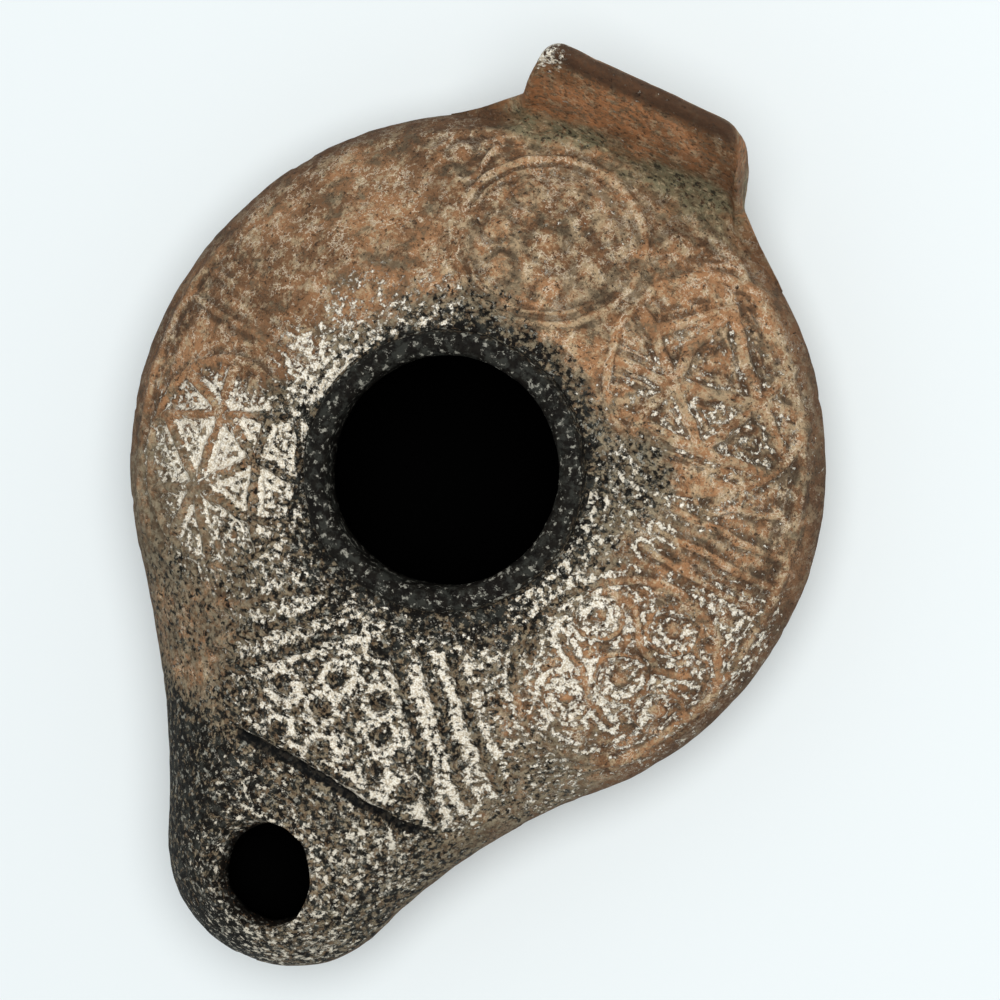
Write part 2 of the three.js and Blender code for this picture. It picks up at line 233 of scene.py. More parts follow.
def top_height(plan, depth=0.0):
    along = neck_share(plan, COLLAR_RADIUS)
    crest = lerp(SHOULDER_TOP, NOZZLE_TOP, along) - depth
    span = lerp(SHOULDER_SPAN, NOZZLE_ROUNDING, along) - depth
    return SEAM_HEIGHT + (crest - SEAM_HEIGHT) * bulge((edge_distance(plan) - depth) / span)


def under_height(plan, depth=0.0, floor=0.0):
    along = neck_share(plan, FOOT_RADIUS)
    keel = lerp(FOOT_HEIGHT + floor, NOZZLE_KEEL + depth, along)
    span = lerp(BODY_RADIUS - FOOT_RADIUS, NOZZLE_ROUNDING, along) - depth
    return SEAM_HEIGHT - (SEAM_HEIGHT - keel) * bulge((edge_distance(plan) - depth) / span)


# Carving: over plan points, the height of the relief and the distance from its nearest edge


class Carving:
    """The gap is the distance outside the nearest raised line or boss, and negative on it."""

    def __init__(self, plan):
        shift = [CARVING_WOBBLE * rough_noise(deep(plan), 2.2, seed) for seed in (11, 17)]
        self.plan = plan + np.column_stack(shift)
        self.height = np.zeros(len(plan))
        self.gap = np.full(len(plan), PLAIN_GAP)

    def raise_by(self, distance, half, height, where=None):
        """A rounded ridge or boss: distance from its middle line, half its width, its height."""
        if where is not None:
            distance = np.where(where, distance, NOT_HERE)
        share = np.clip(distance / half, 0, 1)
        self.height = np.maximum(self.height, height * (1 - share ** 2) ** 1.3)
        self.gap = np.minimum(self.gap, distance - half)

    def cut_by(self, distance, half, depth):
        share = np.clip(distance / half, 0, 1)
        self.height = self.height - depth * (1 - share ** 2)

    def line(self, *points):
        """Distance from a line through plan points."""
        nearest = np.full(len(self.plan), FAR_OFF)
        for start, end in zip(points, points[1:]):
            start, end = np.array(start, float), np.array(end, float)
            along = end - start
            share = np.clip((self.plan - start) @ along / (along @ along), 0, 1)
            offset = self.plan - start - share[:, None] * along
            nearest = np.minimum(nearest, np.hypot(*offset.T))
        return nearest

    def spot(self, x, y):
        return np.hypot(self.plan[:, 0] - x, self.plan[:, 1] - y)

    def bosses(self, places, radius, height):
        for x, y in places:
            self.raise_by(self.spot(x, y), radius, height)

    def ringed_boss(self, x, y, radius):
        distance = self.spot(x, y)
        self.raise_by(np.abs(distance - radius), 0.32, 0.42)
        self.raise_by(distance, 0.42 * radius, 0.6)

    def ridges(self, lines, half, height):
        for points in lines:
            self.raise_by(self.line(*points), half, height)

    def from_middle(self, centre):
        """Distance from a round field's middle, with lengths down the slope drawn out again."""
        out = np.array(centre) / np.hypot(*centre)
        offset = self.plan - centre
        down = offset @ out / SLOPE_SHORTENING
        across = offset @ np.array([-out[1], out[0]])
        return np.hypot(across, down)


def frame_ridge(carving):
    """A ridge round the shoulder with a finer one inside it, open towards the neck."""
    radius = np.hypot(*carving.plan.T)
    angle = np.degrees(np.arctan2(carving.plan[:, 1], carving.plan[:, 0]))
    behind = (angle > -38) | (angle < -142)
    carving.raise_by(np.abs(radius - (BODY_RADIUS - 2.1)), 0.7, 0.35, behind)
    carving.raise_by(np.abs(radius - (BODY_RADIUS - 3.4)), 0.3, 0.2, behind)


def back_medallion(carving):
    distance = carving.from_middle((-1.4, 23.6))
    carving.raise_by(np.abs(distance - 9.1), 0.55, 0.6)
    carving.raise_by(np.abs(distance - 7.9), 0.35, 0.35)
    carving.bosses([(-1.3, 23.7)], 1.75, 0.85)
    carving.bosses([
        (-6.2, 22.9), (-3.9, 19.5), (1.1, 19.7), (3.5, 22.9), (3.1, 26.9), (-1.5, 28.5), (-5.6, 27.1),
    ], 1.55, 0.75)
    carving.bosses([(-13.5, 27.5), (9.5, 28.4), (-11.8, 20.1)], 1.6, 0.7)


def web(carving, centre, radius, lines):
    """Ridges that cross in triangles inside a ring, with a raised island in each triangle."""
    distance = carving.from_middle(centre)
    inside = distance < radius - 0.5
    nearest = np.min([carving.line(*points) for points in lines], axis=0)
    carving.raise_by(nearest, RIDGE_HALF, RIDGE_HEIGHT, inside)
    carving.raise_by(np.abs(nearest - ISLAND_EDGE), 0.28, 0.3, inside)
    carving.raise_by(np.maximum(ISLAND_TOP - nearest, 0), 0.5, 0.3, inside)
    carving.raise_by(np.abs(distance - radius), 0.6, 0.55)
    carving.raise_by(np.abs(distance - radius + 1.1), 0.26, 0.25)


def left_lower(carving):
    web(carving, (-20.6, -9.5), 9.9, (
        ((-22.6, -19.0), (-22.1, -12.8), (-22.6, -5.1), (-23.6, -1.0)),
        ((-17.6, -1.0), (-17.4, -7.4), (-15.0, -12.8), (-13.5, -14.8)),
        ((-28.5, -16.8), (-22.1, -12.8), (-17.4, -7.4), (-12.0, -7.2)),
        ((-29.8, -9.2), (-28.3, -8.3), (-22.6, -5.1), (-17.6, -3.0), (-14.5, -1.8)),
        ((-28.0, -3.5), (-22.6, -5.1), (-17.4, -7.4)),
        ((-28.3, -8.3), (-22.1, -12.8), (-18.1, -18.0)),
        ((-22.1, -12.8), (-15.0, -12.8), (-11.8, -11.5)),
    ))


def right_upper(carving):
    web(carving, (18.3, 18.1), 10.3, (
        ((14.1, 10.0), (14.1, 12.3), (15.5, 16.7), (15.2, 20.0), (16.8, 25.3)),
        ((9.0, 22.0), (11.6, 20.3), (15.5, 16.7), (20.5, 12.3)),
        ((8.8, 16.5), (15.5, 16.7), (23.3, 18.4), (28.6, 19.4)),
        ((20.5, 12.3), (23.3, 18.4), (24.6, 23.5)),
        ((16.8, 25.3), (21.6, 19.8), (23.3, 18.4), (28.0, 14.6)),
        ((11.6, 20.3), (16.8, 25.3)),
        ((12.0, 12.2), (20.5, 12.3), (28.0, 12.8)),
    ))
    carving.bosses([(18.3, 9.2)], 0.9, 0.5)
    carving.ringed_boss(23.7, 9.5, 2.1)


def left_upper(carving):
    web(carving, (-18.2, 16.6), 10.3, (
        ((-25.8, 12.9), (-19.2, 16.1), (-12.6, 19.3)),
        ((-20.4, 8.8), (-19.2, 16.1), (-18.6, 23.4)),
        ((-25.2, 20.2), (-19.2, 16.1), (-13.2, 12.0)),
        ((-13.4, 11.5), (-12.6, 19.3)),
        ((-25.8, 12.9), (-25.2, 20.2)),
    ))
    carving.ringed_boss(-13.3, 11.5, 1.7)


def right_lower(carving):
    distance = carving.from_middle((22.7, -10.6))
    carving.raise_by(np.abs(distance - 10.0), 0.6, 0.55)
    carving.raise_by(np.abs(distance - 8.9), 0.28, 0.25)
    for x, y, radius in ((23.5, -10.7, 2.5), (25.9, -4.3, 2.4), (27.8, -12.5, 2.2), (19.2, -6.0, 2.3),
                         (19.5, -14.6, 2.3), (29.5, -4.6, 1.3)):
        carving.ringed_boss(x, y, radius)
    carving.ridges((
        ((18.6, -3.2), (21.9, -3.7), (23.8, -6.9), (26.2, -8.6), (28.8, -7.9)),
        ((16.4, -9.3), (19.6, -11.2), (21.6, -14.0), (24.3, -15.7)),
    ), 0.5, 0.45)


def side_bars(carving):
    carving.ridges((
        ((20.5, 6.3), (31.9, 5.9)), ((20.1, 4.0), (32.0, 3.0)), ((19.6, 1.8), (31.8, 0.2)),
        ((-17.0, 5.6), (-31.2, 6.2)), ((-17.2, 3.2), (-31.6, 3.0)),
    ), 0.5, 0.45)


def neck_panel(carving):
    """A fan of bosses before the neck between slanting ridges, closed by a ridge and a groove."""
    carving.ridges((
        ((2.5, -16.6), (8.3, -24.6), (13.0, -31.8)),
        ((5.5, -16.4), (10.8, -23.1), (15.1, -28.9)),
        ((8.6, -15.9), (12.9, -21.7), (17.4, -26.6)),
        ((-1.3, -17.1), (-6.1, -22.1), (-11.8, -27.5)),
        ((-3.9, -16.6), (-8.3, -20.6), (-13.6, -25.3)),
        ((-6.5, -15.7), (-10.8, -19.1), (-15.7, -22.7)),
    ), 0.85, 0.6)
    carving.bosses([
        (1.9, -17.9), (-0.8, -22.5), (3.8, -22.9), (-5.5, -25.9), (-1.2, -26.2), (5.1, -26.0),
        (-4.3, -30.4), (0.3, -30.1), (5.7, -29.9), (9.5, -30.2),
    ], 1.35, 0.65)
    carving.raise_by(carving.line((-7.4, -31.5), (2.0, -31.7), (11.5, -32.8)), 0.45, 0.25)
    carving.cut_by(carving.line((-7.4, -32.5), (2.0, -32.7), (11.5, -33.8)), 0.6, 0.55)


def spandrels(carving):
    """Short strokes in the corners between the medallions."""
    carving.ridges((
        ((-12.6, 23.8), (-10.8, 26.4), (-10.6, 29.6)), ((-16.2, 26.0), (-14.8, 29.2)),
        ((9.4, 23.6), (9.2, 26.2), (11.6, 29.2)), ((12.6, 27.8), (14.8, 28.6)),
        ((28.8, 10.2), (31.2, 8.6)), ((25.4, 8.4), (29.6, 9.4)), ((13.6, 8.2), (16.0, 7.4), (19.4, 7.6)),
        ((-15.9, 14.2), (-15.9, 10.4), (-14.7, 7.6)), ((-21.5, 7.2), (-19.7, 9.5), (-17.8, 8.7)),
        ((-29.4, 8.8), (-26.0, 9.4), (-23.4, 8.4)), ((-27.6, -16.8), (-25.0, -20.0), (-20.4, -21.6)),
        ((15.6, -5.2), (14.6, -9.4), (15.4, -13.6)), ((27.6, -17.6), (24.4, -20.8), (20.2, -22.6)),
    ), 0.45, 0.4)


def collar_line(carving):
    """A faint ring round the collar, and the hollow at the collar's foot."""
    out = np.hypot(*carving.plan.T) - COLLAR_RADIUS
    carving.raise_by(np.abs(out - 1.7), 0.45, 0.22)
    carving.gap = np.minimum(carving.gap, np.maximum(out - 0.1, -1))


def carve(plan):
    """Over plan points: the relief's height, the gap to it and how much of it wear has left."""
    carving = Carving(plan)
    for pattern in (frame_ridge, back_medallion, left_lower, right_upper, left_upper, right_lower,
                    side_bars, spandrels, collar_line, neck_panel):
        pattern(carving)
    left = 1 - 0.8 * near(plan, (-20.5, 15.5), 17)
    left *= 1 - 0.25 * near(plan, (3, 26), 14)
    uneven = lerp(0.75, 1.1, 0.5 + 0.5 * noise(deep(plan), 4, 23))
    at_edge = smoothstep(edge_distance(plan), 0.5, 1.8)
    return carving.height * left * uneven * at_edge, carving.gap, left * at_edge


def near(plan, centre, radius):
    """1 at a place on the lamp, 0 beyond the radius."""
    return 1 - smoothstep(np.hypot(*(plan - centre).T), 0.35 * radius, radius)


# The skin: rings of points from the middle of the foot over the seam and the collar
# and back inside


def circle_ring(radius, height, coarser=1):
    directions = outline(TOP_INSETS[-1], coarser)
    directions /= np.hypot(*directions.T)[:, None]
    return deep(directions * radius, height)


def surface_rings(insets, steps, radius, height, coarser):
    """Rings that follow the outline, then ever rounder ones up to a circle."""
    plans = [outline(inset, coarser) for inset in insets]
    inner = circle_ring(radius, 0, coarser)[:, :2]
    plans += [lerp(plans[-1], inner, step / steps) for step in range(1, steps + 1)]
    return [deep(plan, height(plan)) for plan in plans]


def foot_rings():
    half = FOOT_GROOVE_WIDTH / 2
    bevel = FOOT_HEIGHT / 3
    profile = [(radius, 0) for radius in np.linspace(1.5, FOOT_GROOVE_RADIUS - half - 0.3, 8)]
    for turn in np.linspace(0, math.pi, 7):
        profile.append((FOOT_GROOVE_RADIUS - half * math.cos(turn), FOOT_GROOVE_DEPTH * math.sin(turn)))
    profile += [(FOOT_RADIUS - 2.5 * bevel, 0), (FOOT_RADIUS - bevel, 0)]
    for turn in (30, 60, 90):
        turn = math.radians(turn)
        profile.append((FOOT_RADIUS - bevel + bevel * math.sin(turn), bevel - bevel * math.cos(turn)))
    return [circle_ring(radius, height, HIDDEN_COARSER) for radius, height in profile]


def collar_rings():
    half = COLLAR_WIDTH / 2
    middle = HOLE_RADIUS + half
    crown = COLLAR_TOP - half
    profile = [(COLLAR_RADIUS + 0.12, SHOULDER_TOP + 0.25), (COLLAR_RADIUS, SHOULDER_TOP + 0.7)]
    for turn in np.radians(np.linspace(0, 180, 13)):
        profile.append((middle + half * math.cos(turn), crown + half * math.sin(turn)))
    profile += [(HOLE_RADIUS, crown - share) for share in (0.4, 0.9)]
    return [circle_ring(radius, height) for radius, height in profile]


def inside_rings():
    ceiling = surface_rings(INSIDE_INSETS, CEILING_STEPS, HOLE_RADIUS,
                            lambda plan: top_height(plan, WALL), HIDDEN_COARSER)
    floor = surface_rings(INSIDE_INSETS, FLOOR_STEPS, FOOT_RADIUS - WALL,
                          lambda plan: under_height(plan, WALL, FLOOR_THICKNESS), HIDDEN_COARSER)
    return ceiling[::-1] + floor[1:]


def all_rings():
    under = surface_rings(UNDER_INSETS, UNDER_STEPS, FOOT_RADIUS, under_height, UNDER_COARSER)
    top = surface_rings(TOP_INSETS, TOP_STEPS, COLLAR_RADIUS, top_height, 1)
    throat = [circle_ring(HOLE_RADIUS, SHOULDER_TOP - share * WALL, UNDER_COARSER) for share in (0.0, 0.5)]
    return foot_rings() + under[::-1][1:] + top + collar_rings() + throat + inside_rings()


def join_rings(lower, lower_count, upper, upper_count):
    """Faces between two rings, where one may have twice as many points as the other."""
    faces = []
    if lower_count == upper_count:
        for i in range(lower_count):
            j = (i + 1) % lower_count
            faces.append((lower + i, lower + j, upper + j, upper + i))
    elif upper_count > lower_count:
        for i in range(lower_count):
            j = (i + 1) % lower_count
            mid, end = upper + 2 * i + 1, upper + 2 * j
            faces += [(lower + i, mid, upper + 2 * i), (lower + i, lower + j, mid), (lower + j, end, mid)]
    else:
        for i in range(upper_count):
            j = (i + 1) % upper_count
            mid, end = lower + 2 * i + 1, lower + 2 * j
            faces += [(lower + 2 * i, mid, upper + i), (mid, upper + j, upper + i), (mid, end, upper + j)]
    return faces


def close_end(points, faces, ring, start, forward):
    """Closes a row of rings with a fan of faces round the middle of its last ring."""
    middle = len(points)
    for i in range(len(ring)):
        j = (i + 1) % len(ring)
        faces.append((middle, start + i, start + j) if forward else (middle, start + j, start + i))
    return np.vstack([points, ring.mean(axis=0)])


def vessel_mesh():
    rings = all_rings()
    starts = np.cumsum([0] + [len(ring) for ring in rings])
    points = np.vstack(rings)
    faces = []
    for here, (low, high) in enumerate(zip(rings, rings[1:])):
        faces += join_rings(int(starts[here]), len(low), int(starts[here + 1]), len(high))
    points = close_end(points, faces, rings[0], 0, False)
    points = close_end(points, faces, rings[-1], int(starts[-2]), True)
    return points, faces


def build(name, points, faces):
    mesh = bpy.data.meshes.new(name)
    mesh.from_pydata((np.asarray(points) * MM).tolist(), [], faces)
    mesh.update()
    piece = bpy.data.objects.new(name, mesh)
    bpy.context.scene.collection.objects.link(piece)
    return piece


def positions(mesh):
    flat = np.empty(3 * len(mesh.vertices))
    mesh.vertices.foreach_get("co", flat)
    return flat.reshape(-1, 3) / MM


def normals(mesh):
    flat = np.empty(3 * len(mesh.vertices))
    mesh.vertex_normals.foreach_get("vector", flat)
    return flat.reshape(-1, 3)


def move_to(mesh, points):
    mesh.vertices.foreach_set("co", (points * MM).ravel())
    mesh.update()


def wobble(points):
    """The slight unevenness of a thing made by hand: a little longer on one slant."""
    shift = np.column_stack([noise(points, 16, seed) for seed in (31, 37, 41)])
    turn = np.arctan2(points[:, 1], points[:, 0]) - OVAL_SLANT
    stretch = 1 + OVAL_STRETCH * np.cos(2 * turn) * smoothstep(points[:, 1], -40, -25)
    moved = np.column_stack([points[:, :2] * stretch[:, None], points[:, 2]])
    moved += UNEVENNESS * shift * smoothstep(points[:, 2], 0, 6)[:, None]
    moved[:, 2] = np.minimum(moved[:, 2], COLLAR_TOP)
    return moved


def before_wobble(points):
    """Where points of the wobbled skin were before, near enough for painting."""
    return 2 * points - wobble(points)


def grain(points):
    """Worn clay up close: soft hollows, small lumps and a few pits."""
    soft = 0.07 * noise(points, 3.2, 51) + 0.045 * noise(points, 1.3, 53) + 0.03 * noise(points, 0.7, 57)
    pits = smoothstep(noise(points, 1.5, 61), 0.5, 0.8) * 0.16
    return soft - pits


def is_outside(points):
    """Which points lie on the outer skin, and not on the walls of the chamber."""
    plan = points[:, :2]
    radius = np.hypot(*plan.T)
    top = points[:, 2] > top_height(plan) - 0.45 * WALL
    under = points[:, 2] < under_height(plan) + 0.45 * WALL
    collar = points[:, 2] > SHOULDER_TOP - 0.2
    behind = (radius > BODY_RADIUS - 0.5 * WALL) & (points[:, 1] > 0)
    return (top | under | collar | behind) & (radius > HOLE_RADIUS - 0.8) | (points[:, 2] < 3)


def rough_vessel():
    """The carved and worn vessel, without its handle and its wick hole."""
    points, faces = vessel_mesh()
    piece = build("lamp_clay", points, faces)
    mesh = piece.data
    plan = points[:, :2]
    radius = np.hypot(*plan.T)
    out = normals(mesh)
    on_top = (points[:, 2] >= SEAM_HEIGHT - 0.01) & is_outside(points) & (radius > COLLAR_RADIUS - 0.05)
    height = np.zeros(len(points))
    relief, _, _ = carve(plan[on_top])
    height[on_top] = relief * smoothstep(radius[on_top], COLLAR_RADIUS, COLLAR_RADIUS + 1.2)
    height += np.where(is_outside(points), grain(points), 0.25 * noise(points, 5, 67))
    height += dirt_in_crease(points)
    seam = np.abs(points[:, 2] - SEAM_HEIGHT) < 0.05
    height -= np.where(seam, 0.05, 0)
    flat_foot = smoothstep(points[:, 2], 0.0, 1.2)
    move_to(mesh, wobble(points + out * (height * flat_foot)[:, None]))
    return piece


def dirt_in_crease(points):
    """How thick the dirt lies between the shoulder and the handle's face."""
    across = 1 - smoothstep(np.abs(points[:, 0] - HANDLE_SHIFT), 10.5, 14.0)
    along = smoothstep(points[:, 1] + 1.2 * noise(points, 2.5, 70), 29.8, 32.4)
    along *= 1 - smoothstep(points[:, 1], 36.6, 38.0)
    level = smoothstep(points[:, 2], SEAM_HEIGHT, SEAM_HEIGHT + 1)
    level *= 1 - smoothstep(points[:, 2] + 1.5 * noise(points, 2.0, 69), 17.6, 20.0)
    lumps = 0.3 * noise(points, 1.6, 71) + 0.25 * noise(points, 0.8, 72)
    return across * along * level * (0.5 + lumps)


# The handle, by the same rules as in the solid


def back_edge(x):
    return math.sqrt(BODY_RADIUS ** 2 - x ** 2)


def lug_share(past):
    """How much of the lug is left at a distance past its end."""
    if past <= 0:
        return 1.0
    flank = lerp(1, FLANK_SHARE, smoothstep(past, 0, FLANK_DROP))
    return flank * (1 - min(past / HANDLE_FLARE, 1)) ** 1.5


def handle_section(place):
    """A closed ring across the handle, at a place along it from its middle."""
    half = HANDLE_WIDTH / 2
    x = place + HANDLE_SHIFT
    corner = HANDLE_CORNERS[-1 if place < 0 else 1]
    into_corner = min(max((abs(place) - half + corner) / corner, 0), 1)
    corner_drop = corner * (1 - math.sqrt(1 - into_corner ** 2))
    share = lug_share(abs(place) - half)
    edge = back_edge(x)
    root = edge - HANDLE_BURY
    lug_edge = back_edge(min(max(place, -half), half) + HANDLE_SHIFT)
    reach = (BODY_RADIUS - lug_edge + HANDLE_REACH - corner_drop) * share
    back = edge + reach
    top = SEAM_HEIGHT + (HANDLE_TOP - SEAM_HEIGHT - corner_drop) * share
    lip = HANDLE_LIP * share
    crease = lerp(root, BODY_RADIUS - CREASE_INSET, share)
    crease_level = SEAM_HEIGHT + CREASE_HEIGHT * share
    profile = [
        (root, SEAM_HEIGHT - HANDLE_ROOT),
        (edge + 0.62 * reach, SEAM_HEIGHT - (HANDLE_ROOT + 1) * share),
        (edge + 0.9 * reach, lerp(SEAM_HEIGHT, top, 0.3)),
        (edge + 0.99 * reach, top - 1.2 * lip),
        (back - 0.2 * lip, top - 0.4 * lip),
        (back - 0.6 * lip, top),
        (back - lip, top - 0.3 * lip),
        (lerp(crease, back - lip, 0.5), lerp(crease_level, top, 0.54)),
        (crease, crease_level),
        (root, crease_level - 0.5 * CREASE_HEIGHT * share),
    ]
    return np.array([(x, y, z) for y, z in profile])


def rounded(ring, times=3):
    """Cuts the corners of a closed ring."""
    for _ in range(times):
        after = np.roll(ring, -1, axis=0)
        ring = np.stack([0.8 * ring + 0.2 * after, 0.2 * ring + 0.8 * after], axis=1).reshape(-1, 3)
    return ring


def rough_handle():
    half = HANDLE_WIDTH / 2
    sides = {}
    for side, corner in HANDLE_CORNERS.items():
        along = np.linspace(0, half - corner, 18, endpoint=False)
        turn = half - corner * (1 - np.sin(np.radians(np.linspace(0, 90, 9))))
        flank = half + FLANK_DROP * np.linspace(0.15, 1, 6)
        sweep = half + np.linspace(FLANK_DROP, 0.97 * HANDLE_FLARE, 9)[1:]
        sides[side] = side * np.concatenate([along, turn, flank, sweep])
    stations = np.concatenate([sides[-1][:0:-1], sides[1]])
    rings = [rounded(handle_section(x)) for x in stations]
    count = len(rings[0])
    points = np.vstack(rings)
    faces = []
    for here in range(len(rings) - 1):
        faces += join_rings(here * count, count, (here + 1) * count, count)
    last = len(points) - count
    points = close_end(points, faces, rings[0], 0, False)
    points = close_end(points, faces, rings[-1], last, True)
    piece = build("handle_blank", points, faces)
    out = normals(piece.data)
    shift = 0.6 * grain(points) + 0.2 * noise(points, 6.5, 73)
    move_to(piece.data, wobble(points + out * shift[:, None]))
    return piece


# The wick hole, off round and worn wider at the top towards one side. Its profile gives
# the level in walls above the nozzle's top, the radius and how far it is worn.

WICK_HOLE = np.array([0.6, -44.3])
WICK_PROFILE = ((-1.7, 4.7, 0.0), (-1.0, 4.8, 0.0), (-0.65, 4.95, 0.1), (-0.4, 5.15, 0.5),
                (-0.18, 5.4, 1.1), (0.0, 5.7, 1.6), (0.35, 5.9, 1.8))
WORN_TOWARDS = np.array([-0.7, -0.3])
WICK_SIDES = 120


def wick_cutter():
    count = WICK_SIDES
    angles = np.linspace(0, 2 * math.pi, count, endpoint=False)
    rings = []
    for level, radius, worn in WICK_PROFILE:
        round_trip = np.column_stack([np.cos(angles), np.sin(angles), np.full(count, level)])
        uneven = 0.035 * noise(round_trip * 3, 1.7, 79) + 0.02 * noise(round_trip * 3, 0.7, 83)
        reach = radius * (1 + uneven)
        plan = WICK_HOLE + worn * WORN_TOWARDS + round_trip[:, :2] * reach[:, None]
        rings.append(deep(plan, NOZZLE_TOP + level * WALL))
    points = np.vstack(rings)
    faces = []
    for here in range(len(rings) - 1):
        faces += join_rings(here * count, count, (here + 1) * count, count)
    faces.append(tuple(range(count))[::-1])
    faces.append(tuple(range(len(points) - count, len(points))))
    return build("wick_blank", points, faces)


def combine(piece, other, operation):
    """Joins another piece to this one or cuts it out, and deletes it."""
    modifier = piece.modifiers.new(operation, "BOOLEAN")
    modifier.operation = operation
    modifier.solver = "MANIFOLD"
    modifier.object = other
    depsgraph = bpy.context.evaluated_depsgraph_get()
    mesh = bpy.data.meshes.new_from_object(piece.evaluated_get(depsgraph))
    piece.modifiers.clear()
    old = piece.data
    piece.data = mesh
    bpy.data.meshes.remove(old)
    mesh.name = piece.name
    blank = other.data
    bpy.data.objects.remove(other)
    bpy.data.meshes.remove(blank)


# Soot, lime and dirt, and where painted shade and highlight go, as numbers on the mesh that the material
# turns into colour

# How far soot reaches past the collar, by the angle round the lamp from +X
SOOT_REACH = ((-180, 8), (-150, 12), (-125, 17), (-100, 30), (-90, 40), (-65, 20), (-40, 11), (-15, 7),
              (20, 6.0), (60, 4.2), (85, 4.2), (105, 6.5), (120, 6), (140, 4), (160, 5.5), (180, 8))

NOZZLE_TIP = (-1, -53)

# More soot on the flanks of the neck and beside the collar: middle, radius, strength
SOOT_PATCHES = (((-18, -24), 12, 0.4), ((18, -25), 9, 0.45), ((15.5, 7), 7, 0.55))

# How much of the surface the pale crust covers, by place: middle, radius, level. The level
# counts in spreads of the noise, 0 for a half.
NO_LIME = -2.9
LIME_PATCHES = (
    ((-22.5, -9.0), 10.5, 0.2), ((-17.0, -6.0), 9.0, 0.1), ((-15.5, 3.5), 7.0, -0.1),
    ((-14.0, 10.0), 7.0, -0.5), ((-2.0, -24.0), 13.5, -0.35), ((3.5, -29.5), 9.5, -0.3),
    ((11.5, -20.0), 12.0, -0.3), ((13.0, -28.0), 8.0, -0.4), ((19.0, -15.0), 9.0, -0.5),
    ((-10.0, -18.0), 8.0, -0.4), ((-15.0, -10.0), 8.0, -0.2), ((17.0, 3.0), 7.0, -0.7),
    ((3.0, -45.0), 15.0, -0.4), ((-8.0, 14.0), 5.0, -0.8), ((20.0, -24.0), 8.0, -0.75),
    ((9.0, -38.0), 8.0, -0.3), ((-4.0, -37.0), 8.0, -0.7), ((16.0, -6.5), 9.0, -0.5),
    ((25.0, -17.0), 8.0, -0.9), ((-18.0, -15.0), 9.0, -0.4), ((20.0, 14.0), 15.0, -1.2),
    ((30.0, -4.0), 9.0, -0.65), ((27.0, -16.0), 8.0, -0.75), ((25.0, -9.0), 12.0, -1.0),
    ((-1.0, 24.0), 12.0, -1.9),
)

# Where the crust along the foot of the carving shows as lines: middle, radius, strength
LINE_PATCHES = (
    ((19, 15), 16, 0.6), ((22, -10), 15, 0.85), ((-22, -10), 13, 0.9), ((20, 3), 13, 0.85),
    ((-14, 8), 9, 0.9), ((4, -26), 20, 0.8), ((-3, 24), 13, 0.3), ((30, 2), 10, 0.8),
)


# How slowly a patch of lime fades out, below 1 for slowly
PATCH_FALL = 0.6


def soot_on(plan):
    """How sooty a place is: round the collar, down the neck and over the nozzle, less at its sides."""
    radius = np.hypot(*plan.T)
    angle = np.degrees(np.arctan2(plan[:, 1], plan[:, 0]))
    table = np.array(SOOT_REACH, float)
    reach = np.interp(angle, table[:, 0], table[:, 1])
    ragged = 1 + 0.3 * rough_noise(deep(plan), 5, 91)
    past = (radius - COLLAR_RADIUS) / (reach * ragged)
    around = 0.62 * (1 - smoothstep(past, 0.1, 1.3)) + 0.2 * (1 - smoothstep(past, 0.0, 0.35))
    neck = 0.66 * smoothstep(-plan[:, 1], 14, 22) * (1 - smoothstep(np.abs(plan[:, 0] - 1.5), 10, 20))
    nozzle = smoothstep(-plan[:, 1], 27, 36) * lerp(0.55, 0.85, smoothstep(-plan[:, 0], -6, 8))
    nozzle += 0.4 * near(plan, NOZZLE_TIP, 6)
    patches = [strength * near(plan, centre, size) for centre, size, strength in SOOT_PATCHES]
    return np.max([around, neck, nozzle, *patches], axis=0)


def grime_on(plan):
    """How grimy a place is: wherever there is soot, and on both flanks of the neck."""
    with_soot = smoothstep(soot_on(plan), 0.02, 0.62)
    left_flank = 0.75 * near(plan, (-24, -16), 12) + 0.5 * near(plan, (-17, -26), 12)
    right_flank = 0.8 * near(plan, (19, -25), 11)
    return np.clip(np.max([with_soot, left_flank, right_flank], axis=0), 0, 1)


def lime_on(plan):
    """How much lime a place has, counted as in the table above."""
    total = np.full(len(plan), NO_LIME)
    for centre, radius, level in LIME_PATCHES:
        total = np.maximum(total, lerp(NO_LIME, level, near(plan, centre, radius) ** PATCH_FALL))
    return total + 0.35 * rough_noise(deep(plan), 3.0, 97)


def by_handle(plan):
    """1 along the stretch of the edge that the handle covers."""
    return smoothstep(plan[:, 1], 27, 31) * (1 - smoothstep(np.abs(plan[:, 0] - HANDLE_SHIFT), 11, 15))


def handle_lime_on(points):
    """A pale patch at the top of the handle's left end and a few specks elsewhere."""
    at_top = smoothstep(points[:, 2], HANDLE_TOP - 4.5, HANDLE_TOP - 1.5)
    return lerp(-2.1, 0.2, near(points[:, :2], (-8.8, 39.9), 3.0) * at_top)


def lines_on(plan):
    """How much lime sits along the foot of the carving."""
    total = np.full(len(plan), 0.15)
    for centre, radius, strength in LINE_PATCHES:
        total = np.maximum(total, strength * near(plan, centre, radius) ** PATCH_FALL)
    return total * (1 + 0.4 * noise(deep(plan), 2.5, 101))


# What the carving's numbers are where there is no carving
PLAIN_PAINT = {"gap": 3.0, "relief": 0.25}

# The two holes: how far the wick hole's surroundings reach, and the levels below which their painted shade
# starts
WICK_SURROUNDINGS = 8.0
THROAT_SHADE_LEVEL = COLLAR_TOP + 0.8


